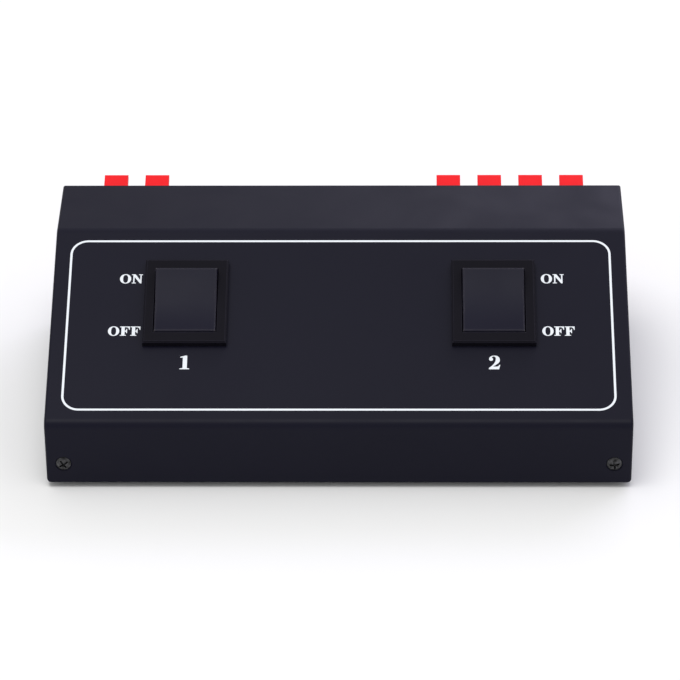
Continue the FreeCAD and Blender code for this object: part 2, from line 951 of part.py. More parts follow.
def contact_strips(columns, middle):
    """The brass strips behind the wire slots, with their tails out of the back."""
    strips = []
    front = rear_face - strip_front_gap
    tail_end = block_back - strip_tail
    for x in column_places(columns, middle):
        for height in row_heights:
            low, high = strip_range(height)
            points = [
                (tail_end, low),
                (front, low),
                (front, high + strip_rise),
                (front - strip_sheet, high + strip_rise),
                (front - strip_sheet, high),
                (tail_end, high),
            ]
            radii = [0, 2 * strip_sheet, 0, 0, strip_sheet, 0]
            wide = prism(points, radii, "yz", x - wire_slot_width, 2 * wire_slot_width)
            side_cut = box(
                (x + strip_width / 2, x + 2 * strip_width),
                (tail_end - overrun, block_back + board_thickness),
                (low - overrun, high + overrun),
            )
            other_cut = side_cut.mirror(Vector(x, 0, 0), Vector(1, 0, 0))
            hole = rounded_plate(
                "xz",
                centred(x, wire_slot_width),
                centred(height - wire_slot_drop, wire_slot_width),
                wire_slot_corner,
                front - strip_sheet - overrun,
                strip_sheet + 2 * overrun,
            )
            strips.append(wide.cut(side_cut).cut(other_cut).cut(hole))
    return Part.Compound(strips)


def terminal_lever(x, height):
    """A lever: tab, hub, arm and two pins in one moulding."""
    run = lever_tip_run
    tab_points = [
        (0, lever_hub_radius),
        (0, -lever_hub_radius),
        (run, lever_tip_bottom),
        (run, lever_tip_top),
    ]
    corner = lever_tip_corner
    tab = prism(tab_points, [0, 0, corner, corner], "yz", -lever_width / 2, lever_width)
    hub = rod(
        lever_hub_radius, Vector(-lever_hub_width / 2, 0, 0), Vector(1, 0, 0), lever_hub_width
    )
    arm = box(
        centred(0, lever_width),
        (-lever_arm_back, lever_arm_front),
        (-lever_arm_length, 0),
    )
    pin_span = lever_hub_width + 2 * lever_pin_length
    pins = rod(lever_pin_radius, Vector(-pin_span / 2, 0, 0), Vector(1, 0, 0), pin_span)
    lever = tab.fuse(hub).fuse(arm).fuse(pins).removeSplitter()
    lever.translate(Vector(x, lever_pivot_y, lever_pivot_z(height)))
    return lever


def terminal_spring(x, height):
    """The bent leaf that pushes a lever's arm back and grips the wire."""
    back = block_back + board_thickness + spring_back_gap
    nose_y = lever_pivot_y - lever_arm_back - spring_nose_gap
    nose_z = lever_pivot_z(height) - lever_arm_length + spring_sheet
    low_y = nose_y - spring_sheet
    top = height + spring_top
    points = [
        (back, height - spring_bottom),
        (back, top),
        (back + 2 * spring_bend_radius, top),
        (nose_y, nose_z),
        (low_y, nose_z - spring_bottom / 2),
    ]
    face = Part.Face(bent_strip(points, spring_sheet, spring_bend_radius))
    face.translate(Vector(x - spring_width / 2, 0, 0))
    return face.extrude(Vector(spring_width, 0, 0))


def bent_strip(path, thickness, bend):
    """The outline of a strip on the right of a path that always bends to its right."""
    runs = []
    for start, end in zip(path, path[1:]):
        length = math.hypot(end[0] - start[0], end[1] - start[1])
        across = ((end[1] - start[1]) / length, (start[0] - end[0]) / length)
        runs.append((across[0] * thickness, across[1] * thickness))
    shifted = [(path[0][0] + runs[0][0], path[0][1] + runs[0][1])]
    for index in range(1, len(runs)):
        shifted.append(meeting_point(runs[index - 1], runs[index], path[index]))
    shifted.append((path[-1][0] + runs[-1][0], path[-1][1] + runs[-1][1]))
    bends = len(path) - 2
    radii = [0] + [bend] * bends + [0, 0] + [bend - thickness] * bends + [0]
    return outline(path + shifted[::-1], radii)


def meeting_point(before, after, corner):
    """Where the shifted lines of two runs of a strip meet."""
    bisector = (before[0] + after[0], before[1] + after[1])
    scale = 2 * (before[0] ** 2 + before[1] ** 2) / (bisector[0] ** 2 + bisector[1] ** 2)
    return (corner[0] + bisector[0] * scale, corner[1] + bisector[1] * scale)


def lead(points):
    """An insulated wire along straight runs joined by tangent arcs."""
    edges = []
    radii = []
    start = points[0]
    for index in range(1, len(points) - 1):
        here = points[index]
        to_before = points[index - 1] - here
        to_after = points[index + 1] - here
        run = wire_bend_share * min(to_before.Length, to_after.Length)
        half_turn = (math.pi - to_before.getAngle(to_after)) / 2
        radius = run / math.tan(half_turn)
        depth = radius / math.cos(half_turn) - radius
        radii.append(radius)
        to_before.normalize()
        to_after.normalize()
        inward = (to_before + to_after).normalize()
        bend_start = here + to_before * run
        bend_end = here + to_after * run
        edges.append(Part.LineSegment(start, bend_start).toShape())
        edges.append(Part.Arc(bend_start, here + inward * depth, bend_end).toShape())
        start = bend_end
    edges.append(Part.LineSegment(start, points[-1]).toShape())
    path = Part.Wire(edges)
    along = points[1] - points[0]
    section = Part.Wire([Part.makeCircle(wire_radius, points[0], along)])
    tube = path.makePipeShell([section], True, False)
    share = tube.Volume / (math.pi * wire_radius**2 * path.Length)
    print("lead %.1f mm long, smallest bend radius %.1f mm" % (path.Length, min(radii)))
    print("its volume is %.4f of its section times its length" % share)
    return tube


def tail_point(x, height, back):
    """A point on a wire that lies on a contact strip's tail, a distance behind its end."""
    strip_top = strip_range(height)[1]
    tail_end = block_back - strip_tail
    return Vector(x, tail_end - back, strip_top + wire_radius + wire_gap)


def export(name, shape):
    """Move a piece to the final origin and write it."""
    piece = shape.copy()
    piece.translate(Vector(0, -shift_to_middle, foot_height))
    if not piece.isValid():
        print("not valid:", name)
    piece.exportStep("parts/%s.step" % name)
    print("%-28s %2d solids %10.3f mm3" % (name, len(piece.Solids), piece.Volume))
    return piece


def tab_end(x, pole, row, out, side):
    """A point on a wire laid across a tab: front or back face, a height, and a side of the pole."""
    place, face = row
    up = place + face * (tab_sheet / 2 + wire_radius + wire_gap)
    return slope_point(x + pole + side, up, -body_depth - out)


def input_leads():
    """Wires from the input's red strips to the first switch and on to the second."""
    right, left = column_places(*block_places()[0][1:])
    first = switch_places()[0][1]
    second = switch_places()[1][1]
    rear = (0, 1)
    front = (0, -1)
    half = tab_width / 2
    upper = row_heights[0]
    leads = []
    for column, pole, beyond, middle in (
        (right, -pole_offset, -6.0, Vector(right + 3.5, far_input_y, far_input_z)),
        (left, pole_offset, 7.0, Vector(left + 24.25, near_input_y, near_input_z)),
    ):
        side = math.copysign(half, beyond)
        turn = tab_end(first, pole, rear, input_drop, side + beyond)
        end = tab_end(first, pole, rear, input_drop, -side)
        start = tail_point(column, upper, -tail_lap)
        leads.append(lead([start, tail_point(column, upper, 8.0), middle, turn, end]))
    for pole, drop in ((-pole_offset, near_drop), (pole_offset, far_drop)):
        start = tab_end(first, pole, front, drop, -half)
        end = tab_end(second, pole, front, drop, half)
        sag = Vector((start.x + end.x) / 2, start.y, start.z - jumper_sag)
        leads.append(lead([start, sag, end]))
    return Part.Compound(leads)


def output_leads(index):
    """Wires from one switch's load tabs, under the leads between the switches, to its output."""
    columns = column_places(*block_places()[1][1:])[2 * index : 2 * index + 2]
    x = switch_places()[index][1]
    front = (-load_place, -1)
    half = tab_width / 2
    upper = row_heights[0]
    leads = []
    for pole, drop, column, beyond in (
        (-pole_offset, near_drop, columns[0], 5.0),
        (pole_offset, far_drop, columns[1], 11.0),
    ):
        start = tab_end(x, pole, front, drop, -half)
        turn = tab_end(x, pole_offset, front, drop, half + beyond)
        bend = Vector(turn.x + 5.0, turn.y + 6.0, low_pass)
        past = bend + Vector(10.0 - 7.0 * index, 11.0, 2.0)
        far = tail_point(column, upper, 6.0)
        rise = (past + far) * 0.5 + Vector(2.0 * index, 1.5, -1.5)
        end = tail_point(column, upper, -tail_lap)
        leads.append(lead([start, turn, bend, past, rise, far, end]))
    return Part.Compound(leads)


def return_leads():
    """Wires that join the black strips of the input and both outputs."""
    inputs = column_places(*block_places()[0][1:])
    outputs = column_places(*block_places()[1][1:])
    lower = row_heights[1]
    beside = wire_radius + wire_gap
    leads = []
    low = Vector(0, low_return_y, low_return_z)
    high = Vector(high_return_x, high_return_y, high_return_z)
    for index, middle in ((0, low), (1, high)):
        near = inputs[index]
        far = outputs[index] - beside
        points = [tail_point(near, lower, -tail_lap), tail_point(near, lower, 6.0), middle]
        points += [tail_point(far, lower, 6.0), tail_point(far, lower, -tail_lap)]
        leads.append(lead(points))
    for index, step in ((0, Vector(6.0, -1.0, -4.0)), (1, Vector(6.0, -2.0, 2.5))):
        near = outputs[index] + beside
        far = outputs[index + 2]
        corner = tail_point(near, lower, 2.5)
        other = tail_point(far, lower, 2.5)
        points = [tail_point(near, lower, -tail_lap), corner, corner + step]
        points += [other + Vector(-step.x, step.y, step.z), other]
        points.append(tail_point(far, lower, -tail_lap))
        leads.append(lead(points))
    return Part.Compound(leads)


def main():
    """Build and write every piece."""
    os.makedirs("parts", exist_ok=True)
    export("cover_shell", cover_shell())
    export("base_tray", base_tray())
    export("rubber_feet", rubber_feet())
    export("case_screws", case_screws())
    export("block_screws", block_screws())
    for name, x in switch_places():
        export(name + "_housing", on_slope(switch_housing(), x))
        export(name + "_tabs", on_slope(switch_tabs(), x))
        export(name + "_rocker", placed_on_rocker(switch_rocker(), x))
        export(name + "_plungers", placed_on_rocker(on_both_poles(plunger()), x))
        export(name + "_plunger_springs", placed_on_rocker(on_both_poles(coil_spring()), x))
        export(name + "_moving_contacts", placed_on_fulcrum(on_both_poles(moving_contact()), x))
    for name, columns, middle in block_places():
        export(name + "_block", block_body(columns, middle))
        export(name + "_back_boards", back_boards(columns, middle))
        export(name + "_contact_strips", contact_strips(columns, middle))
        for terminal, x in zip(terminal_names(name, columns), column_places(columns, middle)):
            for colour, height in zip(row_colours, row_heights):
                export("%s_%s_lever" % (terminal, colour), terminal_lever(x, height))
                export("%s_%s_spring" % (terminal, colour), terminal_spring(x, height))
    export("input_leads", input_leads())
    for index in (0, 1):
        export("output_%d_leads" % (index + 1), output_leads(index))
    export("return_leads", return_leads())


main()
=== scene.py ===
import json
import math

import bmesh
import bpy
from mathutils import Matrix, Quaternion, Vector


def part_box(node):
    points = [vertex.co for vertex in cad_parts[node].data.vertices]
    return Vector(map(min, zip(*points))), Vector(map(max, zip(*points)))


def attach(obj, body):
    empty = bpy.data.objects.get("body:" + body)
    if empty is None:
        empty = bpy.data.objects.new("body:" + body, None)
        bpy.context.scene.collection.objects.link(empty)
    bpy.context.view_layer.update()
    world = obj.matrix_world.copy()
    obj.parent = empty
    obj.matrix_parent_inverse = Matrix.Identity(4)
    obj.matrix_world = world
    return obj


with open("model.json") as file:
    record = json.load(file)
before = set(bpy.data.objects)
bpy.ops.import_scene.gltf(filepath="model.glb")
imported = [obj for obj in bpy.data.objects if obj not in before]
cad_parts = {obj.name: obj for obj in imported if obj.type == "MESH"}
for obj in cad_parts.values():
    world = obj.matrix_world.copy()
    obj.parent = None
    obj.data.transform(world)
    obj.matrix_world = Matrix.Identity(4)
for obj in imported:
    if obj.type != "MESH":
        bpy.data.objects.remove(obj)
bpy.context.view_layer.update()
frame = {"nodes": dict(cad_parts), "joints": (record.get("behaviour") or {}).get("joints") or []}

bl_info = {
    "name": "Loudspeaker Selector Box",
    "version": (1, 0, 0),
    "blender": (4, 5, 0),
    "location": "View3D > Sidebar > Selector",
    "description": "Finishes, prints and lights a box that switches pairs of loudspeakers",
    "category": "Object",
}

MM = 0.001
NODES = frame["nodes"]
JOINTS = {joint["name"]: joint for joint in frame["joints"]}

# Splines of the printed signs


def sharp(*points):
    """A spline with only sharp corners."""
    return [(x, y, "VECTOR") for x, y in points]


def oval(x, y, half_width, half_height):
    """A smooth closed oval."""
    ends = ((half_width, 0), (0, half_height), (-half_width, 0), (0, -half_height))
    return [(x + right, y + up, "AUTO") for right, up in ends]


def bar(x0, y0, x1, y1):
    """A plain rectangle."""
    return sharp((x0, y0), (x1, y0), (x1, y1), (x0, y1))


# The height of a serif and the gap between two letters, for a letter one high
SERIF = 0.08
LETTER_GAP = 0.05

# How far the ink's underside lies in the paint, so that no gap shows under its edge
INK_SINK = 0.01 * MM

# Corners of a text's outline that lie this close together are one
WELD = 1e-7

# Each sign's width and splines, one cap height tall. A spline is a list of (x, y, handle): VECTOR
# at a sharp corner and AUTO where the line bends smoothly. A spline inside another is a hole.
SIGNS = {
    "O": (0.92, [oval(0.46, 0.5, 0.46, 0.52), oval(0.46, 0.5, 0.205, 0.435)]),
    "N": (0.905, [sharp(
        (0, 0), (0.34, 0), (0.34, SERIF), (0.225, SERIF), (0.225, 0.70), (0.68, 0), (0.80, 0),
        (0.80, 1 - SERIF), (0.905, 1 - SERIF), (0.905, 1), (0.575, 1), (0.575, 1 - SERIF),
        (0.69, 1 - SERIF), (0.69, 0.37), (0.30, 1), (0, 1), (0, 1 - SERIF), (0.115, 1 - SERIF),
        (0.115, SERIF), (0, SERIF),
    )]),
    "F": (0.80, [sharp(
        (0, 0), (0.50, 0), (0.50, SERIF), (0.385, SERIF), (0.385, 0.45), (0.46, 0.44),
        (0.53, 0.28), (0.58, 0.28), (0.58, 0.74), (0.53, 0.74), (0.46, 0.56), (0.385, 0.55),
        (0.385, 1 - SERIF), (0.56, 1 - SERIF), (0.68, 0.84), (0.745, 0.64), (0.80, 0.64),
        (0.80, 1), (0, 1), (0, 1 - SERIF), (0.12, 1 - SERIF), (0.12, SERIF), (0, SERIF),
    )]),
    "I": (0.48, [sharp(
        (0, 0), (0.48, 0), (0.48, SERIF), (0.37, SERIF), (0.37, 1 - SERIF), (0.48, 1 - SERIF),
        (0.48, 1), (0, 1), (0, 1 - SERIF), (0.11, 1 - SERIF), (0.11, SERIF), (0, SERIF),
    )]),
    "L": (0.76, [sharp(
        (0, 0), (0.76, 0), (0.76, 0.36), (0.705, 0.36), (0.64, 0.17), (0.53, SERIF),
        (0.385, SERIF), (0.385, 1 - SERIF), (0.50, 1 - SERIF), (0.50, 1), (0, 1),
        (0, 1 - SERIF), (0.12, 1 - SERIF), (0.12, SERIF), (0, SERIF),
    )]),
    "R": (0.90, [
        sharp((0, 0), (0.48, 0), (0.48, SERIF), (0.375, SERIF), (0.375, 0.46), (0.43, 0.46))
        + sharp((0.60, 0), (0.90, 0), (0.90, SERIF), (0.83, SERIF))
        + [(0.70, 0.42, "VECTOR"), (0.84, 0.56, "AUTO"), (0.86, 0.76, "AUTO"), (0.78, 0.93, "AUTO")]
        + sharp((0.52, 1), (0, 1), (0, 1 - SERIF), (0.12, 1 - SERIF), (0.12, SERIF), (0, SERIF)),
        [(0.375, 0.54, "VECTOR"), (0.47, 0.54, "VECTOR"), (0.585, 0.61, "AUTO"),
         (0.60, 0.73, "AUTO"), (0.585, 0.85, "AUTO"), (0.47, 0.92, "VECTOR"), (0.375, 0.92, "VECTOR")],
    ]),
    "1": (0.576, [sharp(
        (0.055, 0), (0.631, 0), (0.631, 0.055), (0.49, 0.085), (0.49, 1), (0.378, 1),
        (0.077, 0.915), (0.077, 0.85), (0.233, 0.86), (0.233, 0.085), (0.055, 0.055),
    )]),
    "2": (0.676, [[
        (0, 0, "VECTOR"), (0.60, 0, "VECTOR"), (0.676, 0.32, "VECTOR"), (0.615, 0.32, "VECTOR"),
        (0.57, 0.225, "VECTOR"), (0.49, 0.195, "VECTOR"), (0.24, 0.195, "VECTOR"),
        (0.46, 0.36, "AUTO"), (0.62, 0.53, "AUTO"), (0.655, 0.72, "AUTO"), (0.56, 0.93, "AUTO"),
        (0.34, 1.0, "AUTO"), (0.11, 0.93, "AUTO"), (0.02, 0.77, "AUTO"), (0.05, 0.655, "AUTO"),
        (0.155, 0.62, "AUTO"), (0.245, 0.68, "AUTO"), (0.25, 0.78, "AUTO"), (0.20, 0.85, "AUTO"),
        (0.215, 0.91, "AUTO"), (0.30, 0.94, "AUTO"), (0.395, 0.88, "AUTO"), (0.415, 0.72, "AUTO"),
        (0.36, 0.52, "AUTO"), (0.22, 0.30, "AUTO"), (0, 0.09, "VECTOR"),
    ]]),
    "+": (0.70, [sharp(
        (0, 0.41), (0.26, 0.41), (0.26, 0.15), (0.44, 0.15), (0.44, 0.41), (0.70, 0.41),
        (0.70, 0.59), (0.44, 0.59), (0.44, 0.85), (0.26, 0.85), (0.26, 0.59), (0, 0.59),
    )]),
    "-": (0.70, [bar(0, 0.41, 0.70, 0.59)]),
}

# The rear's groups of terminals: the sign under each and the block that it is part of
TERMINAL_GROUPS = (
    ("input", "IN", "input"),
    ("output_1", "1", "output"),
    ("output_2", "2", "output"),
)

# Beside each block stand a plus and a minus: which way they lie along the rear panel's own X,
# and which column of levers is next to them
POLE_SIDES = (
    ("input", -1, "input_left"),
    ("output", 1, "output_1_right"),
)
POLES = (("+", "red", "plus"), ("-", "black", "minus"))


class PanelPrintSettings(bpy.types.PropertyGroup):
    """Sizes of what is printed on the sloped panel, measured up it from its front bend."""

    line_width: bpy.props.FloatProperty(
        name="Border width", description="Width of the border line",
        default=0.68 * MM, unit="LENGTH",
    )
    side_inset: bpy.props.FloatProperty(
        name="Side inset", description="From the case's side to the middle of the border line",
        default=5.1 * MM, unit="LENGTH",
    )
    front_inset: bpy.props.FloatProperty(
        name="Front inset", description="From the front bend to the middle of the border line",
        default=5.4 * MM, unit="LENGTH",
    )
    rear_inset: bpy.props.FloatProperty(
        name="Rear inset", description="From the rear bend to the middle of the border line",
        default=4.5 * MM, unit="LENGTH",
    )
    corner_radius: bpy.props.FloatProperty(
        name="Corner radius", description="Radius of the border's outer corners",
        default=5.4 * MM, unit="LENGTH",
    )
    thickness: bpy.props.FloatProperty(
        name="Ink thickness", description="How far the ink stands out of the paint",
        default=0.05 * MM, unit="LENGTH",
    )
    letter_height: bpy.props.FloatProperty(
        name="Letter height", description="Cap height of the words beside the switches",
        default=3.48 * MM, unit="LENGTH",
    )
    letter_stretch: bpy.props.FloatProperty(
        name="Letter stretch", description="How much wider the letters are than the plain ones",
        default=1.078,
    )
    number_height: bpy.props.FloatProperty(
        name="Number height", description="Height of the numbers under the switches",
        default=5.08 * MM, unit="LENGTH",
    )
    on_rise: bpy.props.FloatProperty(
        name="Upper word's rise", description="From the front bend to the foot of the upper words",
        default=52.87 * MM, unit="LENGTH",
    )
    off_rise: bpy.props.FloatProperty(
        name="Lower word's rise", description="From the front bend to the foot of the lower words",
        default=32.9 * MM, unit="LENGTH",
    )
    number_rise: bpy.props.FloatProperty(
        name="Number's rise", description="From the front bend to the foot of the numbers",
        default=20.33 * MM, unit="LENGTH",
    )
    left_gap: bpy.props.FloatProperty(
        name="Left word's gap", description="From the left words to their switch's bezel",
        default=0.83 * MM, unit="LENGTH",
    )
    right_gap: bpy.props.FloatProperty(
        name="Right word's gap", description="From the right bezel to its words",
        default=1.9 * MM, unit="LENGTH",
    )


class RearPrintSettings(bpy.types.PropertyGroup):
    """Sizes of what is printed on the rear panel."""

    letter_height: bpy.props.FloatProperty(
        name="Letter height", description="Height of the letter under each column of levers",
        default=2.6 * MM, unit="LENGTH",
    )
    group_height: bpy.props.FloatProperty(
        name="Group height", description="Height of the sign under each group of columns",
        default=3.0 * MM, unit="LENGTH",
    )
    letter_drop: bpy.props.FloatProperty(
        name="Letter drop", description="From a terminal plate down to the foot of the letters",
        default=4.7 * MM, unit="LENGTH",
    )
    group_drop: bpy.props.FloatProperty(
        name="Group drop", description="From a terminal plate down to the foot of the signs",
        default=9.0 * MM, unit="LENGTH",
    )
    sign_gap: bpy.props.FloatProperty(
        name="Sign gap", description="From a terminal plate to the plus and minus beside it",
        default=3.0 * MM, unit="LENGTH",
    )


class FinishSettings(bpy.types.PropertyGroup):
    """Colours of the finishes."""

    paint: bpy.props.FloatVectorProperty(
        name="Case paint", description="Colour of the satin enamel",
        default=(0.0054, 0.0052, 0.0140), subtype="COLOR", size=3,
    )
    bezel: bpy.props.FloatVectorProperty(
        name="Bezel", description="Colour of the switch housings",
        default=(0.0072, 0.0066, 0.0105), subtype="COLOR", size=3,
    )
    rocker: bpy.props.FloatVectorProperty(
        name="Rocker", description="Colour of the switch rockers",
        default=(0.0066, 0.0062, 0.0170), subtype="COLOR", size=3,
    )
    # Painted highlight: a light colour painted on the rockers' rounded edges, standing in for the light
    # that those edges catch.
    rocker_edge: bpy.props.FloatVectorProperty(
        name="Rocker edges", description="Colour of the highlighted edges of the rockers",
        default=(0.062, 0.057, 0.068), subtype="COLOR", size=3,
    )
    red: bpy.props.FloatVectorProperty(
        name="Red levers", description="Colour of the levers of the upper row",
        default=(0.90, 0.010, 0.016), subtype="COLOR", size=3,
    )
    black: bpy.props.FloatVectorProperty(
        name="Black levers", description="Colour of the levers of the lower row and the blocks",
        default=(0.011, 0.011, 0.012), subtype="COLOR", size=3,
    )
    ink: bpy.props.FloatVectorProperty(
        name="Ink", description="Colour of the print",
        default=(0.86, 0.90, 0.95), subtype="COLOR", size=3,
    )
    screw: bpy.props.FloatVectorProperty(
        name="Screws", description="Colour of the blackened screws",
        default=(0.085, 0.085, 0.09), subtype="COLOR", size=3,
    )


class StageSettings(bpy.types.PropertyGroup):
    """The camera, the floor and the lights."""

    elevation: bpy.props.FloatProperty(
        name="Camera elevation", description="Angle of the camera above the horizon",
        default=math.radians(32.9), subtype="ANGLE",
    )
    distance: bpy.props.FloatProperty(
        name="Camera distance", description="From the camera to the point it aims at",
        default=1.16385, unit="LENGTH",
    )
    aim: bpy.props.FloatVectorProperty(
        name="Aim", description="The point that the camera aims at before it turns",
        default=(0.0177, -0.003025, 0.02065), subtype="TRANSLATION", size=3,
    )
    lens: bpy.props.FloatProperty(
        name="Focal length", description="Focal length in millimetres on a 36 mm sensor",
        default=199.06,
    )
    pan: bpy.props.FloatProperty(
        name="Pan", description="How far the camera turns to its left about its own upright",
        default=math.radians(0.8785), subtype="ANGLE",
    )
    floor_size: bpy.props.FloatProperty(
        name="Floor size", description="Side of the square floor",
        default=12.0, unit="LENGTH",
    )
    floor_colour: bpy.props.FloatVectorProperty(
        name="Floor colour", description="Colour of the floor's paper",
        default=(0.90, 0.90, 0.90), subtype="COLOR", size=3,
    )
    lights_aim: bpy.props.FloatVectorProperty(
        name="Lights' aim", description="The point that both softboxes face",
        default=(0, 0, 0.03), subtype="TRANSLATION", size=3,
    )
    front_place: bpy.props.FloatVectorProperty(
        name="Front softbox", description="Where the front softbox stands",
        default=(-0.2, -0.3, 1.65), subtype="TRANSLATION", size=3,
    )
    front_size: bpy.props.FloatVectorProperty(
        name="Front softbox size", description="Width and height of the front softbox",
        default=(1.3, 0.8), unit="LENGTH", size=2,
    )
    front_power: bpy.props.FloatProperty(
        name="Front softbox power", description="Power of the front softbox in watts",
        default=13.0,
    )
    rear_place: bpy.props.FloatVectorProperty(
        name="Rear softbox", description="Where the rear softbox stands",
        default=(0.85, 1.5, 1.05), subtype="TRANSLATION", size=3,
    )
    rear_size: bpy.props.FloatVectorProperty(
        name="Rear softbox size", description="Width and height of the rear softbox",
        default=(1.8, 0.6), unit="LENGTH", size=2,
    )
    rear_power: bpy.props.FloatProperty(
        name="Rear softbox power", description="Power of the rear softbox in watts",
        default=12.5,
    )
    rear_colour: bpy.props.FloatVectorProperty(
        name="Rear softbox colour", description="Colour of the rear softbox's light",
        default=(0.78, 0.75, 1.0), subtype="COLOR", size=3,
    )
    sky: bpy.props.FloatProperty(
        name="Sky strength", description="Strength of the even light from all round",
        default=0.66,
    )


def values(group):
    """The settings of one of the groups above."""
    return getattr(bpy.context.scene, "selector_" + group)


# Places read from the frame


# The panel's faces look at least this far up and this far forward
LEAST_UP = 0.5
LEAST_FORWARD = 0.1


def panel_axes():
    """The panel's own axes: X to the right, Y up the slope and Z out, from its front corner line."""
    faces = NODES["cover_shell"].data.polygons
    facing = [face for face in faces if face.normal.z > LEAST_UP and face.normal.y < -LEAST_FORWARD]
    flat = max(facing, key=lambda face: face.area)
    out = flat.normal.normalized()
    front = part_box("cover_shell")[0].y
    height = (out.dot(flat.center) - out.y * front) / out.z
    return axes_at(Vector((0, front, height)), Vector((1, 0, 0)), out)


def rear_axes():
    """The rear panel's own axes as seen from behind: X to the viewer's right, Y up, Z out."""
    return axes_at(Vector((0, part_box("base_tray")[1].y, 0)), Vector((-1, 0, 0)), Vector((0, 1, 0)))


def axes_at(origin, right, out):
    """The matrix of a flat surface's axes."""
    up = out.cross(right)
    turn = Matrix((right, up, out)).transposed().to_4x4()
    return Matrix.Translation(origin) @ turn


def panel_length(axes):
    """The length of the sloped panel up to its rear bend."""
    up = axes.to_3x3().col[1]
    return (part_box("cover_shell")[1].z - axes.translation.z) / up.z


def switch_middles():
    """The X of each switch, from its hinge."""
    return [JOINTS["switch_%d_rock" % number]["pos_m"][0] for number in (1, 2)]


def column_place(group, side):
    """The place of a column of levers along the rear panel's own X, from its red lever's hinge."""
    return -JOINTS["%s_%s_red_press" % (group, side)]["pos_m"][0]


# Node groups and materials

# The span that nearly all of a noise texture's values lie in
NOISE_RANGE = (0.3, 0.7)

# How alike the flat and the rounded normal are where an edge begins and where it is full
EDGE_BEGINS = 0.995
EDGE_IS_FULL = 0.96

# Where a Mix node keeps its colours: the first, the second and the mixed one
FIRST_COLOUR = 6
SECOND_COLOUR = 7
MIXED_COLOUR = 2


def put(tree, kind, links=(), **inputs):
    """Adds a node, sets its named inputs, and joins other sockets to it."""
    node = tree.nodes.new(kind)
    for name, value in inputs.items():
        node.inputs[name.replace("_", " ")].default_value = value
    for name, socket in dict(links).items():
        tree.links.new(socket, node.inputs[name])
    return node


def colour_mix(tree, factor, first):
    """A mix of colours by a factor, with its first colour joined."""
    mix = put(tree, "ShaderNodeMix")
    mix.data_type = "RGBA"
    tree.links.new(factor, mix.inputs["Factor"])
    tree.links.new(first, mix.inputs[FIRST_COLOUR])
    return mix


def spread(tree, noise, ends=()):
    """Spreads a noise's usual values from 0 to 1, or between the two ends that are joined."""
    low, high = NOISE_RANGE
    links = {"Value": noise, **dict(ends)}
    return put(tree, "ShaderNodeMapRange", links, From_Min=low, From_Max=high).outputs["Result"]


def new_group(name, inputs, outputs):
    """A shader node group with named sockets, and its two end nodes."""
    group = bpy.data.node_groups.new(name, "ShaderNodeTree")
    for socket, kind, value in inputs:
        made = group.interface.new_socket(socket, in_out="INPUT", socket_type="NodeSocket" + kind)
        if value is not None:
            made.default_value = value
    for socket, kind in outputs:
        group.interface.new_socket(socket, in_out="OUTPUT", socket_type="NodeSocket" + kind)
    return group, group.nodes.new("NodeGroupInput"), group.nodes.new("NodeGroupOutput")


def surface_relief():
    """Fine pebbled relief, as of sprayed enamel or a spark-eroded mould."""
    group, given, out = new_group(
        "Surface Relief",
        [("Size", "Float", 3000.0), ("Pits", "Float", 0.5)],
        [("Height", "Float")],
    )
    place = put(group, "ShaderNodeTexCoord").outputs["Object"]
    sized = {"Vector": place, "Scale": given.outputs["Size"]}
    soft = put(group, "ShaderNodeTexNoise", sized, Detail=3.0)
    cells = put(group, "ShaderNodeTexVoronoi", sized)
    cells.feature = "SMOOTH_F1"
    mixed = put(group, "ShaderNodeMix", {
        "Factor": given.outputs["Pits"], "A": soft.outputs["Fac"], "B": cells.outputs["Distance"],
    })
    group.links.new(mixed.outputs["Result"], out.inputs["Height"])
    return group


def tone_drift():
    """Two close tones of one colour, mixed in soft clouds and fine grains."""
    group, given, out = new_group(
        "Tone Drift",
        [("Tone", "Color", None), ("Other Tone", "Color", None), ("Size", "Float", 60.0),
         ("Grain", "Float", 0.3)],
        [("Color", "Color")],
    )
    place = put(group, "ShaderNodeTexCoord").outputs["Object"]
    sized = {"Vector": place, "Scale": given.outputs["Size"]}
    clouds = put(group, "ShaderNodeTexNoise", sized, Detail=4.0)
    grains = put(group, "ShaderNodeTexNoise", {"Vector": place}, Scale=2600.0, Detail=2.0)
    both = put(group, "ShaderNodeMix", {
        "Factor": given.outputs["Grain"], "A": clouds.outputs["Fac"], "B": grains.outputs["Fac"],
    })
    tones = colour_mix(group, spread(group, both.outputs["Result"]), given.outputs["Tone"])
    group.links.new(given.outputs["Other Tone"], tones.inputs[SECOND_COLOUR])
    group.links.new(tones.outputs[MIXED_COLOUR], out.inputs["Color"])
    return group


def handling():
    """Roughness that varies as wiped and handled surfaces do."""
    group, given, out = new_group(
        "Handling",
        [("Low", "Float", 0.35), ("High", "Float", 0.5), ("Size", "Float", 45.0)],
        [("Roughness", "Float")],
    )
    place = put(group, "ShaderNodeTexCoord").outputs["Object"]
    sized = {"Vector": place, "Scale": given.outputs["Size"]}
    smears = put(group, "ShaderNodeTexNoise", sized, Detail=6.0, Distortion=0.6)
    spread_roughness(group, smears.outputs["Fac"], given, out)
    return group


def spread_roughness(group, noise, given, out):
    """Spreads a noise between the group's low and high roughness."""
    ends = {"To Min": given.outputs["Low"], "To Max": given.outputs["High"]}
    group.links.new(spread(group, noise, ends), out.inputs["Roughness"])


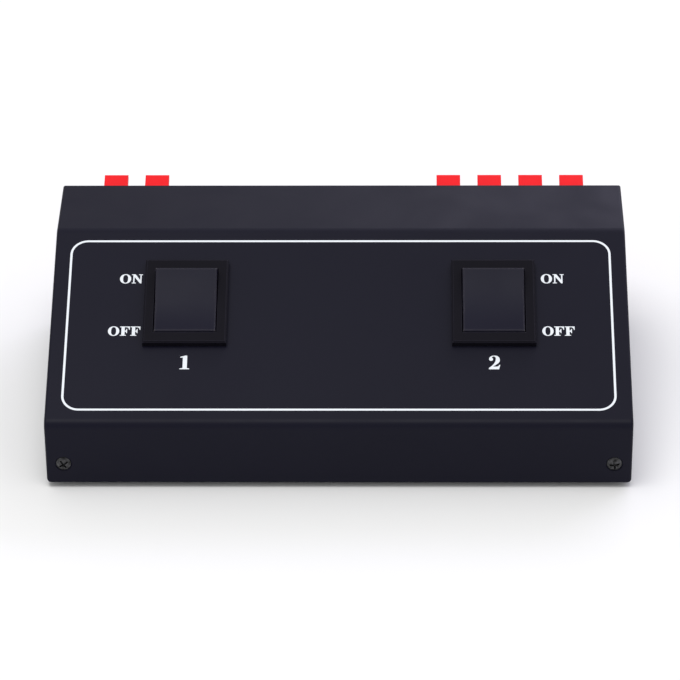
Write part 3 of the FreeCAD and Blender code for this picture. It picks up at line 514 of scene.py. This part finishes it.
def soft_edges():
    """A normal that rounds every edge, and a mask of those edges."""
    group, given, out = new_group(
        "Soft Edges",
        [("Radius", "Float", 0.0002)],
        [("Normal", "Vector"), ("Edge", "Float")],
    )
    rounded = put(group, "ShaderNodeBevel", {"Radius": given.outputs["Radius"]})
    rounded.samples = 6
    flat = put(group, "ShaderNodeNewGeometry").outputs["Normal"]
    likeness = put(group, "ShaderNodeVectorMath")
    likeness.operation = "DOT_PRODUCT"
    group.links.new(rounded.outputs["Normal"], likeness.inputs[0])
    group.links.new(flat, likeness.inputs[1])
    edge = put(
        group, "ShaderNodeMapRange", {"Value": likeness.outputs["Value"]},
        From_Min=EDGE_BEGINS, From_Max=EDGE_IS_FULL,
    )
    group.links.new(rounded.outputs["Normal"], out.inputs["Normal"])
    group.links.new(edge.outputs["Result"], out.inputs["Edge"])
    return group


def streaks():
    """Roughness in long fine lines, as of rolled metal or the fibres of a board."""
    group, given, out = new_group(
        "Streaks",
        [("Low", "Float", 0.2), ("High", "Float", 0.4), ("Size", "Float", 1500.0),
         ("Stretch", "Vector", (0.05, 1.0, 1.0))],
        [("Roughness", "Float")],
    )
    place = put(group, "ShaderNodeTexCoord").outputs["Object"]
    drawn = put(group, "ShaderNodeVectorMath")
    drawn.operation = "MULTIPLY"
    group.links.new(place, drawn.inputs[0])
    group.links.new(given.outputs["Stretch"], drawn.inputs[1])
    sized = {"Vector": drawn.outputs["Vector"], "Scale": given.outputs["Size"]}
    lines = put(group, "ShaderNodeTexNoise", sized, Detail=4.0)
    spread_roughness(group, lines.outputs["Fac"], given, out)
    return group


GROUP_MAKERS = {
    "Surface Relief": surface_relief,
    "Tone Drift": tone_drift,
    "Handling": handling,
    "Soft Edges": soft_edges,
    "Streaks": streaks,
}


def place_group(tree, name, **inputs):
    """Places a shared node group, making it the first time."""
    node = tree.nodes.new("ShaderNodeGroup")
    node.node_tree = bpy.data.node_groups.get(name) or GROUP_MAKERS[name]()
    for socket, value in inputs.items():
        node.inputs[socket.replace("_", " ")].default_value = value
    return node


def rgba(colour, share=1.0):
    """A colour, lightened or darkened, with full alpha."""
    return tuple(channel * share for channel in colour) + (1.0,)


def finish(name, tone, other, relief, rough, edge_radius, painted_edge_colour=None, pits=0.5, cloud=60.0,
           grain=0.3, depth=0.00002, specular=0.5, metal=0.0, smear=45.0, stretch=None):
    """A material: drifting tone, handled or drawn roughness, fine relief and soft edges, with an edge
    colour, when given, painted on the edges as highlight or shade.
    """
    material = bpy.data.materials.new(name)
    material.use_nodes = True
    tree = material.node_tree
    shader = tree.nodes["Principled BSDF"]
    drift = place_group(tree, "Tone Drift", Tone=tone, Other_Tone=other, Size=cloud, Grain=grain)
    edges = place_group(tree, "Soft Edges", Radius=edge_radius)
    colour = drift.outputs["Color"]
    # Painted light: the edge mask mixes the edge colour into the rounded edges. A lighter colour is a
    # painted highlight and a darker one is painted shade, standing in for the light the edges catch.
    if painted_edge_colour:
        painted_edge_shading = colour_mix(tree, edges.outputs["Edge"], colour)
        painted_edge_shading.inputs[SECOND_COLOUR].default_value = painted_edge_colour
        colour = painted_edge_shading.outputs[MIXED_COLOUR]
    tree.links.new(colour, shader.inputs["Base Color"])
    low, high = rough
    if stretch:
        worn = place_group(tree, "Streaks", Low=low, High=high, Size=smear, Stretch=stretch)
    else:
        worn = place_group(tree, "Handling", Low=low, High=high, Size=smear)
    tree.links.new(worn.outputs["Roughness"], shader.inputs["Roughness"])
    pebbles = place_group(tree, "Surface Relief", Size=relief, Pits=pits)
    bump = put(tree, "ShaderNodeBump", {
        "Height": pebbles.outputs["Height"], "Normal": edges.outputs["Normal"],
    }, Distance=depth)
    tree.links.new(bump.outputs["Normal"], shader.inputs["Normal"])
    shader.inputs["Specular IOR Level"].default_value = specular
    shader.inputs["Metallic"].default_value = metal
    return material


def dress(material, *names):
    """Gives the material to CAD nodes."""
    for name in names:
        for slot in NODES[name].material_slots:
            slot.material = material


def nodes_ending(*endings):
    """The CAD nodes whose names end in any of these words."""
    found = [name for name in sorted(NODES) if name.endswith(endings)]
    if not found:
        raise RuntimeError("no node ends in %s" % (endings,))
    return found


def case_paint():
    """Satin black enamel with a blue cast."""
    colour = values("finish").paint
    return finish(
        "case_paint", rgba(colour), rgba(colour, 0.86), relief=3200.0, rough=(0.40, 0.50),
        edge_radius=0.12 * MM, depth=6e-6, pits=0.35, cloud=14.0, grain=0.25, specular=0.12,
    )


def printing_ink():
    """White screen ink, a little thin and uneven at close range."""
    colour = values("finish").ink
    return finish(
        "white_print", rgba(colour), rgba(colour, 0.93), relief=5200.0, rough=(0.45, 0.6),
        edge_radius=0.04 * MM, depth=4e-6, pits=0.2, cloud=500.0, grain=0.6, specular=0.3,
    )


def ink():
    """The one ink material."""
    return bpy.data.materials.get("white_print") or printing_ink()


# Meshes


def new_piece(name, shape, material):
    """Turns a bmesh into an object at the origin that rides on the case."""
    mesh = bpy.data.meshes.new(name)
    shape.to_mesh(mesh)
    shape.free()
    mesh.materials.append(material)
    piece = bpy.data.objects.new(name, mesh)
    bpy.context.scene.collection.objects.link(piece)
    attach(piece, "case")
    return piece


def raised(shape, thickness):
    """Gives flat faces a thickness upwards and makes a closed shell of them."""
    top = bmesh.ops.extrude_face_region(shape, geom=shape.faces[:])["geom"]
    risen = [item for item in top if isinstance(item, bmesh.types.BMVert)]
    bmesh.ops.translate(shape, vec=Vector((0, 0, thickness)), verts=risen)
    bmesh.ops.recalc_face_normals(shape, faces=shape.faces[:])


def sign_width(text, height, stretch):
    """The printed width of a text."""
    letters = sum(SIGNS[letter][0] for letter in text)
    return (letters + LETTER_GAP * (len(text) - 1)) * height * stretch


def sign_outline(text, height, stretch):
    """The flat outline curve of a text, from its lower left corner."""
    curve = bpy.data.curves.new("sign", "CURVE")
    curve.dimensions = "2D"
    curve.fill_mode = "BOTH"
    curve.resolution_u = 8
    start = 0.0
    for letter in text:
        width, splines = SIGNS[letter]
        for points in splines:
            spline = curve.splines.new("BEZIER")
            spline.bezier_points.add(len(points) - 1)
            spline.use_cyclic_u = True
            for point, (x, y, handle) in zip(spline.bezier_points, points):
                point.co = ((start + x) * height * stretch, y * height, 0)
                point.handle_left_type = handle
                point.handle_right_type = handle
        start += width + LETTER_GAP
    return curve


def sign_shape(text, height, stretch, thickness):
    """A text as a thin closed shape on the XY plane."""
    curve = sign_outline(text, height, stretch)
    holder = bpy.data.objects.new("sign", curve)
    bpy.context.scene.collection.objects.link(holder)
    bpy.context.view_layer.update()
    graph = bpy.context.evaluated_depsgraph_get()
    flat = bpy.data.meshes.new_from_object(holder.evaluated_get(graph))
    shape = bmesh.new()
    shape.from_mesh(flat)
    bpy.data.objects.remove(holder)
    bpy.data.curves.remove(curve)
    bpy.data.meshes.remove(flat)
    bmesh.ops.remove_doubles(shape, verts=shape.verts[:], dist=WELD)
    raised(shape, thickness)
    return shape


def print_sign(name, text, height, axes, x, y, anchor=0.5, stretch=1.0):
    """Prints a text on a surface. The anchor is the share of its width that lies left of x."""
    shape = sign_shape(text, height, stretch, values("panel").thickness + INK_SINK)
    left = x - anchor * sign_width(text, height, stretch)
    place = axes @ Matrix.Translation((left, y, -INK_SINK))
    bmesh.ops.transform(shape, matrix=place, verts=shape.verts[:])
    return new_piece(name, shape, ink())


class SELECTOR_OT_paint_case(bpy.types.Operator):
    """Paint the cover and the tray"""

    bl_idname = "selector.paint_case"
    bl_label = "Paint Case"

    def execute(self, context):
        dress(case_paint(), "cover_shell", "base_tray")
        return {"FINISHED"}


class SELECTOR_OT_finish_switches(bpy.types.Operator):
    """Give the switches their plastics and metals"""

    bl_idname = "selector.finish_switches"
    bl_label = "Finish Switches"

    def execute(self, context):
        colours = context.scene.selector_finish
        # The housings' edges get a painted highlight, 3.2 times the bezel colour in the edge mask.
        bezel = finish(
            "switch_plastic", rgba(colours.bezel), rgba(colours.bezel, 0.85), relief=4200.0,
            rough=(0.42, 0.52), edge_radius=0.22 * MM, painted_edge_colour=rgba(colours.bezel, 3.2),
            depth=8e-6, specular=0.045,
        )
        dress(bezel, "switch_1_housing", "switch_2_housing")
        # The rockers' edges get a painted highlight, a lighter colour in the edge mask.
        cap = finish(
            "rocker_plastic", rgba(colours.rocker), rgba(colours.rocker, 0.9), relief=3600.0,
            rough=(0.40, 0.48), edge_radius=0.6 * MM, painted_edge_colour=rgba(colours.rocker_edge),
            depth=1.0e-5, pits=0.7, specular=0.12,
        )
        dress(cap, "switch_1_rocker", "switch_2_rocker")
        acetal = finish(
            "plunger_plastic", tone=(0.78, 0.76, 0.70, 1), other=(0.70, 0.68, 0.61, 1),
            relief=2500.0,
            rough=(0.35, 0.5), edge_radius=0.1 * MM, cloud=300.0,
        )
        dress(acetal, *nodes_ending("_plungers"))
        return {"FINISHED"}


class SELECTOR_OT_finish_terminals(bpy.types.Operator):
    """Give the terminal blocks, their levers and boards their plastics"""

    bl_idname = "selector.finish_terminals"
    bl_label = "Finish Terminals"

    def execute(self, context):
        colours = context.scene.selector_finish
        # The blocks' edges get a painted highlight, 1.8 times the black in the edge mask.
        block = finish(
            "terminal_plastic", rgba(colours.black), rgba(colours.black, 0.8), relief=2600.0,
            rough=(0.30, 0.42), edge_radius=0.2 * MM, painted_edge_colour=rgba(colours.black, 1.8),
            depth=5e-6, specular=0.45,
        )
        dress(block, "input_block", "output_block")
        # The red levers' edges get painted shade, 0.8 times the red in the edge mask.
        red = finish(
            "red_lever", rgba(colours.red), rgba(colours.red, 0.93), relief=1800.0,
            rough=(0.30, 0.40), edge_radius=0.22 * MM, painted_edge_colour=rgba(colours.red, 0.80),
            depth=3e-6, cloud=160.0, grain=0.1, specular=0.2,
        )
        dress(red, *nodes_ending("_red_lever"))
        # The black levers' edges get a painted highlight, twice the black in the edge mask.
        black = finish(
            "black_lever", rgba(colours.black), rgba(colours.black, 0.85), relief=1800.0,
            rough=(0.28, 0.38), edge_radius=0.22 * MM, painted_edge_colour=rgba(colours.black, 2.0),
            depth=3e-6, cloud=160.0, specular=0.5,
        )
        dress(black, *nodes_ending("_black_lever"))
        board = finish(
            "fibre_board", tone=(0.33, 0.19, 0.09, 1), other=(0.24, 0.13, 0.06, 1),
            relief=1400.0,
            rough=(0.5, 0.75), edge_radius=0.08 * MM, cloud=220.0, grain=0.5, smear=900.0,
            stretch=(0.08, 1, 1),
        )
        dress(board, *nodes_ending("_back_boards"))
        return {"FINISHED"}


class SELECTOR_OT_finish_hardware(bpy.types.Operator):
    """Give the screws, feet, springs, contacts and wires their finishes"""

    bl_idname = "selector.finish_hardware"
    bl_label = "Finish Hardware"

    def execute(self, context):
        colours = context.scene.selector_finish
        screw = finish(
            "black_screw", rgba(colours.screw), rgba(colours.screw, 0.05), relief=1000.0,
            rough=(0.28, 0.5), edge_radius=0.12 * MM, depth=1.2e-4, pits=0.1, cloud=900.0,
            grain=0.0, metal=0.6, smear=1200.0,
        )
        dress(screw, "case_screws", "block_screws")
        rubber = finish(
            "rubber", tone=(0.016, 0.016, 0.017, 1), other=(0.024, 0.024, 0.025, 1),
            relief=1500.0,
            rough=(0.72, 0.85), edge_radius=0.15 * MM, depth=1.5e-5, pits=0.2,
        )
        dress(rubber, "rubber_feet")
        steel = finish(
            "spring_steel", tone=(0.56, 0.56, 0.58, 1), other=(0.48, 0.48, 0.50, 1),
            relief=3000.0,
            rough=(0.18, 0.36), edge_radius=0.05 * MM, depth=2e-6, metal=1.0, smear=2600.0,
            stretch=(1, 1, 0.06),
        )
        dress(steel, *nodes_ending("_spring", "_springs"))
        brass = finish(
            "contact_brass", tone=(0.72, 0.50, 0.20, 1), other=(0.52, 0.34, 0.14, 1),
            relief=2000.0,
            rough=(0.24, 0.44), edge_radius=0.06 * MM, depth=3e-6, cloud=380.0, metal=1.0,
            smear=1900.0, stretch=(1, 0.06, 1),
        )
        dress(brass, *nodes_ending("_tabs", "_moving_contacts", "_contact_strips"))
        for name, tone, leads in (
            ("red_wire", (0.55, 0.022, 0.022), ("input_leads", "output_1_leads", "output_2_leads")),
            ("black_wire", (0.016, 0.016, 0.017), ("return_leads",)),
        ):
            wire = finish(
                name, rgba(tone), rgba(tone, 0.85), relief=900.0, rough=(0.35, 0.5),
                edge_radius=0.05 * MM, depth=6e-6, cloud=200.0, pits=0.1,
            )
            dress(wire, *leads)
        return {"FINISHED"}


class SELECTOR_OT_print_border(bpy.types.Operator):
    """Print the border line round the sloped panel"""

    bl_idname = "selector.print_border"
    bl_label = "Print Border"

    def execute(self, context):
        settings = context.scene.selector_panel
        axes = panel_axes()
        half_line = settings.line_width / 2
        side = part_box("cover_shell")[1].x - settings.side_inset + half_line
        low = settings.front_inset - half_line
        high = panel_length(axes) - settings.rear_inset + half_line
        shape = bmesh.new()
        bmesh.ops.create_grid(shape, x_segments=1, y_segments=1, size=1.0)
        bmesh.ops.scale(shape, vec=(side, (high - low) / 2, 1), verts=shape.verts[:])
        bmesh.ops.translate(shape, vec=(0, (high + low) / 2, 0), verts=shape.verts[:])
        bmesh.ops.bevel(
            shape, geom=shape.verts[:], affect="VERTICES", offset=settings.corner_radius,
            offset_type="OFFSET", segments=16, profile=0.5, material=-1,
        )
        inside = shape.faces[:]
        bmesh.ops.inset_region(
            shape, faces=inside, thickness=settings.line_width, use_boundary=True, use_even_offset=True
        )
        bmesh.ops.delete(shape, geom=inside, context="FACES")
        raised(shape, settings.thickness + INK_SINK)
        place = axes @ Matrix.Translation((0, 0, -INK_SINK))
        bmesh.ops.transform(shape, matrix=place, verts=shape.verts[:])
        new_piece("panel_border", shape, ink())
        return {"FINISHED"}


class SELECTOR_OT_print_switch_signs(bpy.types.Operator):
    """Print ON, OFF and a number at each switch"""

    bl_idname = "selector.print_switch_signs"
    bl_label = "Print Switch Signs"

    def execute(self, context):
        settings = context.scene.selector_panel
        axes = panel_axes()
        for number, middle, anchor, gap in (
            (1, switch_middles()[0], 1.0, settings.left_gap),
            (2, switch_middles()[1], 0.0, settings.right_gap),
        ):
            low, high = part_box("switch_%d_housing" % number)
            side = low.x - gap if anchor else high.x + gap
            for word, rise in (("ON", settings.on_rise), ("OFF", settings.off_rise)):
                name = "switch_%d_%s_sign" % (number, word.lower())
                print_sign(
                    name, word, settings.letter_height, axes, side, rise, anchor, settings.letter_stretch
                )
            name = "switch_%d_number" % number
            print_sign(name, str(number), settings.number_height, axes, middle, settings.number_rise)
        return {"FINISHED"}


class SELECTOR_OT_print_rear_signs(bpy.types.Operator):
    """Print the channels, groups and poles at the rear terminals"""

    bl_idname = "selector.print_rear_signs"
    bl_label = "Print Rear Signs"

    def execute(self, context):
        settings = context.scene.selector_rear
        axes = rear_axes()
        for group, sign, block in TERMINAL_GROUPS:
            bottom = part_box(block + "_block")[0].z
            columns = {side: column_place(group, side) for side in ("left", "right")}
            for side, x in columns.items():
                name = "%s_%s_channel" % (group, side)
                foot = bottom - settings.letter_drop
                print_sign(name, side[0].upper(), settings.letter_height, axes, x, foot)
            middle = sum(columns.values()) / 2
            foot = bottom - settings.group_drop
            print_sign(group + "_sign", sign, settings.group_height, axes, middle, foot)
        for block, way, column in POLE_SIDES:
            low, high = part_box(block + "_block")
            edge = -high.x if way < 0 else -low.x
            x = edge + way * settings.sign_gap
            for sign, colour, word in POLES:
                lever_low, lever_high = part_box("%s_%s_lever" % (column, colour))
                foot = (lever_low.z + lever_high.z - settings.letter_height) / 2
                name = "%s_%s_sign" % (block, word)
                print_sign(name, sign, settings.letter_height, axes, x, foot)
        return {"FINISHED"}


def aimed(thing, place, aim):
    """Stands a light or camera at a place and turns it to a point."""
    thing.location = place
    thing.rotation_mode = "QUATERNION"
    thing.rotation_quaternion = (Vector(aim) - Vector(place)).to_track_quat("-Z", "Y")


def softbox(name, place, aim, size, power, colour=(1, 1, 1)):
    """A large rectangular light."""
    light = bpy.data.lights.new(name, "AREA")
    light.shape = "RECTANGLE"
    light.size, light.size_y = size
    light.energy = power
    light.color = colour
    holder = bpy.data.objects.new(name, light)
    bpy.context.scene.collection.objects.link(holder)
    aimed(holder, place, aim)
    return holder


def lay_floor(settings):
    """The white paper that the box stands on."""
    shape = bmesh.new()
    bmesh.ops.create_grid(shape, x_segments=1, y_segments=1, size=settings.floor_size / 2)
    mesh = bpy.data.meshes.new("floor")
    shape.to_mesh(mesh)
    shape.free()
    paper = bpy.data.materials.new("floor_paper")
    paper.use_nodes = True
    shader = paper.node_tree.nodes["Principled BSDF"]
    shader.inputs["Base Color"].default_value = rgba(settings.floor_colour)
    shader.inputs["Roughness"].default_value = 0.9
    shader.inputs["Specular IOR Level"].default_value = 0.1
    mesh.materials.append(paper)
    floor = bpy.data.objects.new("floor", mesh)
    bpy.context.scene.collection.objects.link(floor)


def light_sky(settings):
    """Even white light from all round."""
    world = bpy.data.worlds.new("studio")
    world.use_nodes = True
    sky = world.node_tree.nodes["Background"]
    sky.inputs["Color"].default_value = (1, 1, 1, 1)
    sky.inputs["Strength"].default_value = settings.sky
    bpy.context.scene.world = world


def stand_camera(settings):
    """A long lens straight in front of the box, looking down on it."""
    camera = bpy.data.cameras.new("camera")
    camera.sensor_width = 36.0
    camera.lens = settings.lens
    holder = bpy.data.objects.new("camera", camera)
    bpy.context.scene.collection.objects.link(holder)
    aim = Vector(settings.aim)
    back = Vector((0, -math.cos(settings.elevation), math.sin(settings.elevation)))
    aimed(holder, aim + back * settings.distance, aim)
    holder.rotation_quaternion @= Quaternion((0, 1, 0), settings.pan)
    bpy.context.scene.camera = holder


class SELECTOR_OT_set_stage(bpy.types.Operator):
    """Lay the floor, set the lights and stand the camera"""

    bl_idname = "selector.set_stage"
    bl_label = "Set Stage"

    def execute(self, context):
        settings = context.scene.selector_stage
        lay_floor(settings)
        light_sky(settings)
        softbox(
            "front_softbox", settings.front_place, settings.lights_aim, settings.front_size,
            settings.front_power,
        )
        softbox(
            "rear_softbox", settings.rear_place, settings.lights_aim, settings.rear_size,
            settings.rear_power, settings.rear_colour,
        )
        stand_camera(settings)
        context.scene.view_settings.view_transform = "Standard"
        return {"FINISHED"}


STEPS = (
    SELECTOR_OT_paint_case,
    SELECTOR_OT_finish_switches,
    SELECTOR_OT_finish_terminals,
    SELECTOR_OT_finish_hardware,
    SELECTOR_OT_print_border,
    SELECTOR_OT_print_switch_signs,
    SELECTOR_OT_print_rear_signs,
    SELECTOR_OT_set_stage,
)


class SELECTOR_PT_steps(bpy.types.Panel):
    """The steps that finish the box"""

    bl_idname = "SELECTOR_PT_steps"
    bl_label = "Selector Box"
    bl_space_type = "VIEW_3D"
    bl_region_type = "UI"
    bl_category = "Selector"

    def draw(self, context):
        for step in STEPS:
            self.layout.operator(step.bl_idname)


SETTINGS = {
    "panel": PanelPrintSettings,
    "rear": RearPrintSettings,
    "finish": FinishSettings,
    "stage": StageSettings,
}


def register():
    for group in SETTINGS.values():
        bpy.utils.register_class(group)
    for name, group in SETTINGS.items():
        setattr(bpy.types.Scene, "selector_" + name, bpy.props.PointerProperty(type=group))
    for step in STEPS:
        bpy.utils.register_class(step)
    bpy.utils.register_class(SELECTOR_PT_steps)


def unregister():
    bpy.utils.unregister_class(SELECTOR_PT_steps)
    for step in reversed(STEPS):
        bpy.utils.unregister_class(step)
    for name in SETTINGS:
        delattr(bpy.types.Scene, "selector_" + name)
    for group in reversed(list(SETTINGS.values())):
        bpy.utils.unregister_class(group)


def main():
    """Run every step in order."""
    register()
    for step in STEPS:
        group, name = step.bl_idname.split(".")
        getattr(getattr(bpy.ops, group), name)()


if __name__ == "__main__":
    main()
